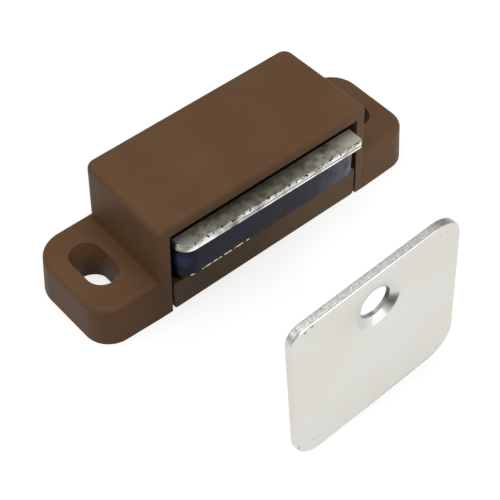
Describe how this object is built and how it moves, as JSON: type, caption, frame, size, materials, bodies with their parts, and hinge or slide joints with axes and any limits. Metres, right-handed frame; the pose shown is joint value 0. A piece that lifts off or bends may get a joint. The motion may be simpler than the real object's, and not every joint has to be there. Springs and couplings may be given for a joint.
{
  "type": "magnetic catch",
  "caption": "Cabinet-door magnetic catch: moulded housing with slotted screw ears, base cover, ferrite magnet between steel pole plates, and a separate square strike plate.",
  "frame": {"origin": "midpoint between the two screw slots, on the mounting face of the housing", "axes": "+X along the catch, from one screw ear to the other; -Y out of the pole faces towards the door; +Z away from the mounting face"},
  "size_m": [0.048, 0.039, 0.024],
  "materials": {
    "brown_plastic": "satin brown moulding",
    "plated_pole_steel": "dull nickel plating, blanked edges",
    "ferrite": "ground dark slate ferrite",
    "plated_strike_steel": "pale satin zinc plating"
  },
  "bodies": {
    "catch": {"housing": "brown_plastic", "base_cover": "brown_plastic"},
    "magnet_pack": {"upper_pole_plate": "plated_pole_steel", "ferrite_magnet": "ferrite", "lower_pole_plate": "plated_pole_steel"},
    "strike": {"strike_plate": "plated_strike_steel"}
  },
  "joints": [
    {"name": "magnet_rock", "type": "hinge", "parent": "catch", "child": "magnet_pack", "pos_m": [0, -0.0028, 0.0076], "axis": [0, 0, 1], "range_deg": [-1, 1]},
    {"name": "strike_approach", "type": "slide", "parent": "catch", "child": "strike", "axis": [0.289, 0.9573, 0], "range_m": [0, 0.02234]}
  ]
}
